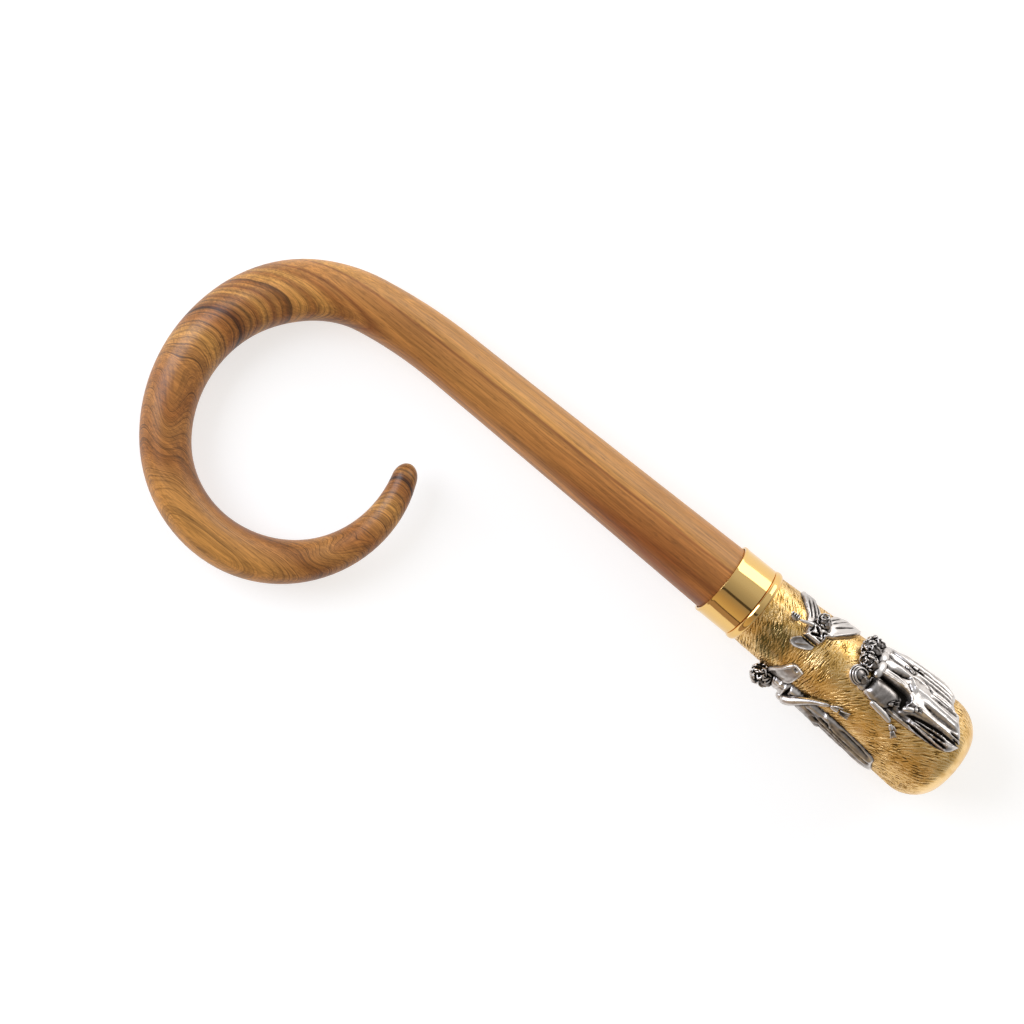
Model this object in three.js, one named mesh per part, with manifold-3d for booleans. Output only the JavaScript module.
// The head of a bishop's crosier: an olive wood crook in a gilt ferrule, on a cast and gilded knob with
// silvered figures applied to it. It lies on its side, resting on the knob and on the crook.
// Millimetres. The parts are modelled upright along X, from the staff's end at 0 to the crook, which curls
// towards +Y, and the whole head is then laid down on the surface Z = 0.
import * as THREE from "three";
import { mergeVertices } from "three/addons/utils/BufferGeometryUtils.js";
import Module from "manifold-3d";

const wasm = await Module();
wasm.setup();

// ---- Driving dimensions ----
const gap = 0.3; // clearance between pieces that touch
const roundSides = 32; // facets round the turned parts

const knob = {
  length: 99,
  topRadius: 14.8,
  bellyRadius: 21.1, // the widest place, near the staff's end
  bellyAt: 14.5,
  seatRadius: 8.6, // flat end that the staff is screwed up to
  socketRadius: 5,
  socketDepth: 18,
};
const bead = { length: 3.3, radius: 15.4, neckRadius: 14.2 };
const ferrule = { length: 15, radius: 15.5, wall: 1.1, floor: 1.5, lip: 0.3 };

const shaftRun = 134; // straight wood from the ferrule's mouth to the first bend
const bends = [
  { radius: 190, sweep: 11.2 },
  { radius: 51.6, sweep: 63 },
  { radius: 58.3, sweep: 54.7 },
  { radius: 46.8, sweep: 168.8 },
];
// [distance from the ferrule's mouth, thickness of the wood there]
const girths = [
  [0, 28.2],
  [60, 25.6],
  [120, 23.5],
  [172, 22.2],
  [206, 24],
  [240, 22.2],
  [290, 19.6],
  [338, 18.6],
  [372, 15.2],
  [402, 11.8],
  [415, 9.9],
];
const woodSides = 18;
const woodSteps = 52;

// How the head lies: the knob is thicker than the crook, so that the axis sinks towards the crook.
const restPitch = 1.68; // degrees
const restRoll = 0.44; // degrees, raising the curl

// ---- Materials ----
const finishes = {
  olive: new THREE.MeshStandardMaterial({ color: 0xa8702f, roughness: 0.45, metalness: 0 }),
  polishedGilt: new THREE.MeshStandardMaterial({ color: 0xe3b95a, roughness: 0.12, metalness: 1 }),
  chasedGilt: new THREE.MeshStandardMaterial({ color: 0xc79a3c, roughness: 0.35, metalness: 1 }),
  silver: new THREE.MeshStandardMaterial({ color: 0xb9b6b2, roughness: 0.3, metalness: 1 }),
};

// ---- Solids: joining and cutting ----
function solidOf(geometry) {
  const bare = geometry.clone();
  bare.deleteAttribute("normal");
  bare.deleteAttribute("uv");
  const merged = mergeVertices(bare, 1e-4);
  return new wasm.Manifold(
    new wasm.Mesh({
      numProp: 3,
      vertProperties: merged.attributes.position.array,
      triVerts: new Uint32Array(merged.index.array),
    }),
  );
}

function geometryOf(solid) {
  const mesh = solid.getMesh();
  const geometry = new THREE.BufferGeometry();
  geometry.setAttribute("position", new THREE.BufferAttribute(mesh.vertProperties, 3));
  geometry.setIndex(new THREE.BufferAttribute(mesh.triVerts, 1));
  return geometry;
}

// ---- Turned parts: a profile of [place along X, radius], spun round X ----
function turned(profile, sides = roundSides) {
  const outline = profile.map(([place, radius]) => new THREE.Vector2(radius, place));
  const geometry = new THREE.LatheGeometry(outline, sides);
  geometry.rotateZ(-Math.PI / 2); // the lathe's Y becomes X
  return geometry;
}

// A quarter of an ellipse in a profile, from its widest place at `from` out to its end on the axis side.
function quarterRound(from, length, innerRadius, outerRadius, steps) {
  return Array.from({ length: steps }, (_, i) => {
    const turn = ((i + 1) / steps) * (Math.PI / 2);
    const radius = innerRadius + (outerRadius - innerRadius) * Math.cos(turn);
    return [from + length * Math.sin(turn), radius];
  });
}

// ---- The knob's body ----
const flare = new THREE.SplineCurve([
  new THREE.Vector2(knob.bellyAt, knob.bellyRadius),
  new THREE.Vector2(24, 20.6),
  new THREE.Vector2(40, 18.9),
  new THREE.Vector2(60, 17),
  new THREE.Vector2(80, 15.6),
  new THREE.Vector2(knob.length, knob.topRadius),
]);
const flarePoints = flare.getPoints(8);
const endRound = quarterRound(knob.bellyAt, -knob.bellyAt, knob.seatRadius, knob.bellyRadius, 5);

// Radius of the knob's surface at a place along its length.
function knobRadius(place) {
  if (place <= knob.bellyAt) {
    const sine = THREE.MathUtils.clamp(1 - place / knob.bellyAt, 0, 1);
    return knob.seatRadius + (knob.bellyRadius - knob.seatRadius) * Math.sqrt(1 - sine * sine);
  }
  const next = flarePoints.findIndex((point) => point.x >= place);
  if (next < 0) return knob.topRadius;
  const [before, after] = [flarePoints[Math.max(next - 1, 0)], flarePoints[next]];
  const share = (place - before.x) / Math.max(after.x - before.x, 1e-6);
  return THREE.MathUtils.lerp(before.y, after.y, share);
}

function knobOuter(grow) {
  const skin = [...endRound.slice().reverse(), ...flarePoints.map((point) => [point.x, point.y])];
  return skin.map(([place, radius]) => [place, radius + grow]);
}

function makeKnob() {
  const socket = [
    [knob.socketDepth, 0],
    [knob.socketDepth, knob.socketRadius],
    [0, knob.socketRadius],
  ];
  return turned([...socket, ...knobOuter(0), [knob.length, 0]]);
}

// The knob and its end filled out by the clearance: figures are cut by it, so that they sit on the knob.
function makeKnobClearance() {
  const skin = knobOuter(gap);
  const [first, last] = [skin[0], skin[skin.length - 1]];
  return solidOf(turned([[first[0] - gap, 0], [first[0] - gap, first[1]], ...skin, [last[0], 0]]));
}

function makeBead() {
  const start = knob.length + gap;
  const end = knob.length + bead.length;
  const rise = bead.radius - bead.neckRadius;
  const bulge = Array.from({ length: 6 }, (_, i) => {
    const turn = (i / 5) * 0.75 * Math.PI;
    return [start + ((end - start) * i) / 5, bead.neckRadius + rise * Math.sin(turn)];
  });
  return turned([[start, 0], ...bulge, [end, 0]]);
}

function makeFerrule() {
  const bottom = knob.length + bead.length + gap;
  const mouth = bottom - gap + ferrule.length;
  const bore = ferrule.radius - ferrule.wall;
  return turned([
    [bottom, 0],
    [bottom, ferrule.radius - ferrule.lip],
    [bottom + ferrule.lip, ferrule.radius],
    [mouth - ferrule.lip, ferrule.radius],
    [mouth, ferrule.radius - ferrule.lip],
    [mouth, bore],
    [bottom + ferrule.floor, bore],
    [bottom + ferrule.floor, 0],
  ]);
}

// ---- Round pieces bent along a line ----
// A lathe of [share of the line, radius] points is bent so that its own axis follows the line. `upAt` gives
// the direction that the section's width is measured across, and `flatness` thins the section along it.
function bentRound(line, profile, sides, upAt, flatness = 1) {
  const outline = profile.map(([share, radius]) => new THREE.Vector2(radius, share));
  const geometry = new THREE.LatheGeometry(outline, sides);
  const position = geometry.attributes.position;
  const vertex = new THREE.Vector3();
  for (let i = 0; i < position.count; i++) {
    vertex.fromBufferAttribute(position, i);
    const { point, tangent } = line(vertex.y);
    const up = upAt(point).clone().addScaledVector(tangent, -upAt(point).dot(tangent)).normalize();
    const side = new THREE.Vector3().crossVectors(tangent, up);
    const place = point
      .clone()
      .addScaledVector(side, vertex.x)
      .addScaledVector(up, vertex.z * flatness);
    position.setXYZ(i, place.x, place.y, place.z);
  }
  return geometry;
}

// ---- The wooden crook ----
// Point and heading on the crook's centreline, at a distance from the ferrule's mouth.
function crookLine(distance) {
  const mouth = knob.length + bead.length + ferrule.length;
  let heading = 0;
  let left = distance - shaftRun;
  const point = new THREE.Vector3(mouth + Math.min(distance, shaftRun), 0, 0);
  bends.forEach((bend, index) => {
    if (left <= 0) return;
    const sweep = THREE.MathUtils.degToRad(bend.sweep);
    const last = index === bends.length - 1;
    const turn = last ? left / bend.radius : Math.min(left / bend.radius, sweep);
    point.x += bend.radius * (Math.sin(heading + turn) - Math.sin(heading));
    point.y += bend.radius * (Math.cos(heading) - Math.cos(heading + turn));
    heading += turn;
    left -= bend.radius * sweep;
  });
  return { point, tangent: new THREE.Vector3(Math.cos(heading), Math.sin(heading), 0) };
}

function makeCrook() {
  const bendLength = bends.reduce((sum, b) => sum + b.radius * THREE.MathUtils.degToRad(b.sweep), 0);
  const length = shaftRun + bendLength;
  const taper = new THREE.SplineCurve(girths.map(([at, girth]) => new THREE.Vector2(at, girth / 2)));
  const tenonEnd = ferrule.floor + 2 * gap - ferrule.length;
  const tipRadius = girths[girths.length - 1][1] / 2;
  const tip = quarterRound(girths[girths.length - 1][0], length - girths[girths.length - 1][0], 0, tipRadius, 5);
  const along = [
    [tenonEnd, 0],
    [tenonEnd, girths[0][1] / 2],
    ...taper.getSpacedPoints(woodSteps).map((p) => [p.x, p.y]),
    ...tip,
  ];
  const line = (share) => crookLine(share);
  const up = new THREE.Vector3(0, 0, 1);
  return bentRound(line, along, woodSides, () => up);
}

// ---- Places on the knob ----
// [place along the knob, degrees round it from +Z towards +Y, lift off its surface]
function onKnob([place, angle, lift = 0]) {
  const turn = THREE.MathUtils.degToRad(angle);
  const radius = knobRadius(place) + lift;
  return new THREE.Vector3(place, radius * Math.sin(turn), radius * Math.cos(turn));
}

function outward(point) {
  return new THREE.Vector3(0, point.y, point.z).normalize();
}

// The place at a share from 0 to 1 of the way along a line of places, round the knob and not through it.
function along(places, share) {
  const reach = share * (places.length - 1);
  const index = Math.min(Math.floor(reach), places.length - 2);
  return places[index].map((value, axis) => THREE.MathUtils.lerp(value, places[index + 1][axis], reach - index));
}

// ---- What the figures are made of ----
// A limb, fold, feather or finger: a rounded roll through places on the knob.
function roll(places, radii, { sides = 5, steps = 3, flatness = 1 } = {}) {
  const curve = new THREE.CatmullRomCurve3(places.map(onKnob));
  const radiusAt = new THREE.SplineCurve(radii.map((r, i) => new THREE.Vector2(i / (radii.length - 1), r)));
  const shoulder = 0.06; // share of the line taken by each rounded end
  const profile = [[0, 0]];
  for (let i = 0; i <= steps; i++) {
    const share = THREE.MathUtils.lerp(shoulder, 1 - shoulder, i / steps);
    profile.push([share, radiusAt.getPoint(share).y]);
  }
  profile.push([1, 0]);
  const line = (share) => {
    const along = THREE.MathUtils.clamp(share, 0, 1);
    return { point: curve.getPointAt(along), tangent: curve.getTangentAt(along) };
  };
  return solidOf(bentRound(line, profile, sides, outward, flatness));
}

// A rounded lump, `long` along the knob, `wide` round it and `deep` off it, turned by `tilt` degrees.
function lump(place, [long, wide, deep], { tilt = 0, detail = 6 } = {}) {
  const geometry = new THREE.SphereGeometry(1, detail, Math.ceil(detail * 0.65));
  geometry.scale(long, wide, deep);
  geometry.rotateZ(THREE.MathUtils.degToRad(tilt));
  geometry.rotateX(THREE.MathUtils.degToRad(-place[1]));
  const centre = onKnob(place);
  geometry.translate(centre.x, centre.y, centre.z);
  return solidOf(geometry);
}

function fuse(solids) {
  return solids.reduce((whole, solid) => whole.add(solid));
}

// A sheet laid on the knob from a top edge down to a bottom edge, each a line of [place, degrees round it].
// Its face stands face(u, v) off the knob, with u running down it and v round it from 0 to 1. Its back lies
// inside the knob, and is cut away.
function sheet({ top, bottom, rows, columns, face }) {
  const positions = [];
  for (const isFace of [true, false]) {
    for (let i = 0; i <= rows; i++) {
      for (let j = 0; j <= columns; j++) {
        const [u, v] = [i / rows, j / columns];
        const [place, angle] = along([along(top, v), along(bottom, v)], u);
        positions.push(...onKnob([place, angle, isFace ? face(u, v) : -1]).toArray());
      }
    }
  }
  const at = (i, j) => i * (columns + 1) + j;
  const back = (rows + 1) * (columns + 1);
  const corners = [];
  const quad = (p, q, r, t) => corners.push(p, q, r, p, r, t);
  for (let i = 0; i < rows; i++) {
    for (let j = 0; j < columns; j++) {
      quad(at(i, j), at(i, j + 1), at(i + 1, j + 1), at(i + 1, j));
      quad(back + at(i, j), back + at(i + 1, j), back + at(i + 1, j + 1), back + at(i, j + 1));
    }
  }
  const rim = (from, to) => quad(from, to, back + to, back + from);
  for (let i = 0; i < rows; i++) {
    rim(at(i, 0), at(i + 1, 0));
    rim(at(i + 1, columns), at(i, columns));
  }
  for (let j = 0; j < columns; j++) {
    rim(at(0, j + 1), at(0, j));
    rim(at(rows, j), at(rows, j + 1));
  }
  const geometry = new THREE.BufferGeometry();
  geometry.setAttribute("position", new THREE.Float32BufferAttribute(positions, 3));
  geometry.setIndex(corners);
  return solidOf(geometry);
}

// Cloth hanging in folds that deepen towards the hem. It is fullest in the middle, and `fullness` gives how
// far it stands off the knob there at its top and at its hem.
function robe({ top, bottom, folds, fullness, depth }) {
  const face = (u, v) => {
    const fold = Math.abs(Math.sin(Math.PI * folds * v)) * depth * (0.4 + 0.6 * u);
    const hollow = Math.sin(7 * v + 4 * u) * 0.25;
    const body = THREE.MathUtils.lerp(...fullness, u);
    return body * (0.45 + 0.55 * Math.sin(Math.PI * v)) + fold + hollow;
  };
  return sheet({ top, bottom, rows: 4, columns: 2 * folds, face });
}

// A wing whose feathers run from its root edge to its tip edge.
function wing({ top, bottom, feathers, lift }) {
  const face = (u, v) => lift + 0.6 * Math.abs(Math.sin(Math.PI * feathers * v)) - 0.5 * u;
  return sheet({ top, bottom, rows: 2, columns: 2 * feathers, face });
}

// A head with a cap of locks. The chin points down the knob, and `tilt` turns it sideways.
function head(place, { size, tilt = 0, locks = 4 } = {}) {
  const [along, angle, lift] = place;
  const degrees = (length) => THREE.MathUtils.radToDeg(length / knobRadius(along));
  const reach = size * 0.8;
  const hair = Array.from({ length: locks }, (_, i) => {
    const turn = THREE.MathUtils.degToRad(tilt + THREE.MathUtils.lerp(-110, 110, i / (locks - 1)));
    const at = [along + reach * Math.cos(turn), angle - degrees(reach * Math.sin(turn)), lift - 0.2];
    return lump(at, [size * 0.6, size * 0.55, size * 0.65], { tilt: (i * 360) / locks, detail: 5 });
  });
  return fuse([lump(place, [size * 1.2, size * 0.85, size], { tilt }), ...hair]);
}

// A hand: a thumb, and joined fingers that point from the wrist to the tips.
function hand(wrist, tips) {
  const thumb = [(wrist[0] + tips[0]) / 2, wrist[1] + 4, (wrist[2] + tips[2]) / 2];
  return fuse([
    roll([wrist, tips], [0.9, 1.3, 0.7], { steps: 2, sides: 5 }),
    roll([wrist, thumb], [0.6, 0.5], { steps: 1, sides: 4 }),
  ]);
}

// ---- The figures ----
function makeAngel() {
  const cloth = { folds: 5, fullness: [2.6, 1.8], depth: 0.9 };
  return fuse([
    wing({ top: [[88.4, -69], [83.6, -40]], bottom: [[82, -68], [78, -46]], feathers: 3, lift: 1.8 }),
    wing({ top: [[76, -62], [74.5, -29]], bottom: [[66, -77], [62.2, -73]], feathers: 5, lift: 2.2 }),
    lump([80, -1, 0.9], [5.4, 2.7, 1.1], { tilt: 38, detail: 8 }), // the wing on the near side
    robe({ top: [[82.5, -46], [80.5, -12]], bottom: [[70, -50], [70.5, -19]], ...cloth }),
    head([78.5, -38, 3], { size: 2.4 }),
    roll([[79.5, -24, 2], [82.5, -27, 1.8], [86.8, -25, 1.4]], [1.1, 0.9, 0.7]),
    hand([86, -25, 1.4], [91, -22.5, 1]),
  ]);
}

function makeStandingFigure() {
  const middle = 92; // degrees round the knob
  const arm = (side) => {
    const round = (fromMiddle) => middle + side * fromMiddle;
    const [top, elbow, wrist] = [[72.5, round(12), 2.4], [64, round(34), 2.6], [54, round(55), 1.6]];
    return fuse([roll([top, elbow, wrist], [2.1, 1.6, 0.9]), hand([56.5, round(51), 1.8], [47.5, round(61), 1.2])]);
  };
  const [left, right] = [middle - 58, middle + 58]; // ends of the crossbar behind the shoulders
  return fuse([
    robe({
      top: [[73, middle - 17], [73, middle + 17]],
      bottom: [[27, middle - 30], [27, middle + 30]],
      folds: 7,
      fullness: [4.6, 0.9],
      depth: 1.1,
    }),
    lump([73.5, middle, 2.6], [5.5, 5.5, 2.9], { detail: 8 }), // neck and shoulders
    sheet({
      top: [[77.6, left], [80.5, middle], [77.6, right]],
      bottom: [[72, left], [71.5, middle], [72, right]],
      rows: 1,
      columns: 8,
      face: () => 1.1,
    }),
    arm(-1),
    arm(1),
    head([80.3, middle - 2, 3.4], { size: 4, locks: 7 }),
  ]);
}

function makeRobedGroup() {
  const frontCloth = { folds: 5, fullness: [3, 1.4], depth: 1.4 };
  const middleCloth = { folds: 5, fullness: [4.2, 2], depth: 1.4 };
  const backCloth = { folds: 5, fullness: [3.8, 1.6], depth: 1.2 };
  return fuse([
    robe({ top: [[47, -16], [46, 0]], bottom: [[8, -26], [7, -20], [10.2, -3]], ...frontCloth }),
    robe({ top: [[51, -45], [50, -19]], bottom: [[10, -46], [8.1, -28], [7, -23]], ...middleCloth }),
    robe({ top: [[51, -75], [53, -48]], bottom: [[15, -73], [14.4, -62], [10, -44]], ...backCloth }),
    lump([43, -6, 2.2], [7, 4.8, 3], { tilt: 10, detail: 8 }), // cloak over the front figure's shoulder
    head([55.2, -10, 2.8], { size: 3.3, tilt: -12, locks: 5 }),
    head([55.5, -29, 3.4], { size: 3.4, locks: 5 }),
    head([56, -50, 3], { size: 3.3, tilt: 10, locks: 5 }),
    head([53, -71, 2.4], { size: 3, tilt: 15 }),
    roll([[44, 2, 1.5], [39, 5, 1.5], [34, 9, 1.4]], [2.1, 1.7, 1.2]),
    hand([34.5, 8, 1.6], [29, 16, 1.2]),
    roll([[49, -24, 4], [42, -22, 4.6], [37, -17, 4.4], [34, -13, 4]], [2, 2.2, 1.8, 1.3]),
    hand([35.5, -14, 4], [29.5, -21, 3.6]),
    roll([[48, -74, 2.5], [42, -80, 3.2], [38, -79, 3.2]], [2, 1.6, 1]),
    hand([39, -79, 3.4], [33.5, -75, 3]),
  ]);
}

// ---- Laid down ----
const laid = new THREE.Matrix4().makeRotationFromEuler(
  new THREE.Euler(THREE.MathUtils.degToRad(restRoll), THREE.MathUtils.degToRad(restPitch), 0),
);
const crook = makeCrook().applyMatrix4(laid);
crook.computeBoundingBox();
const surface = crook.boundingBox.min.z; // the head lies with the crook touching it

// The round knob has a small flat spot where it lies on the surface.
function makeLaidKnob() {
  const depth = knob.bellyRadius;
  const ground = new THREE.BoxGeometry(3 * knob.length, 4 * knob.bellyRadius, depth);
  ground.translate(0, 0, surface - depth / 2);
  return geometryOf(solidOf(makeKnob().applyMatrix4(laid)).subtract(solidOf(ground)));
}

const clearance = makeKnobClearance();
const applied = (figure) => geometryOf(figure.subtract(clearance)).applyMatrix4(laid);

// ---- Assembly ----
function named(name, geometry, material) {
  const mesh = new THREE.Mesh(geometry, material);
  mesh.name = name;
  return mesh;
}

const staffHead = new THREE.Group();
staffHead.add(
  named("crook", crook, finishes.olive),
  named("ferrule", makeFerrule().applyMatrix4(laid), finishes.polishedGilt),
  named("bead_ring", makeBead().applyMatrix4(laid), finishes.polishedGilt),
  named("knob", makeLaidKnob(), finishes.chasedGilt),
  named("angel", applied(makeAngel()), finishes.silver),
  named("standing_figure", applied(makeStandingFigure()), finishes.silver),
  named("robed_group", applied(makeRobedGroup()), finishes.silver),
);

// The middle of its outline is over the origin, and its underside is on Z = 0.
const outline = new THREE.Box3().setFromObject(staffHead, true);
const centre = outline.getCenter(new THREE.Vector3());
staffHead.position.set(-centre.x, -centre.y, -outline.min.z);

export default staffHead;
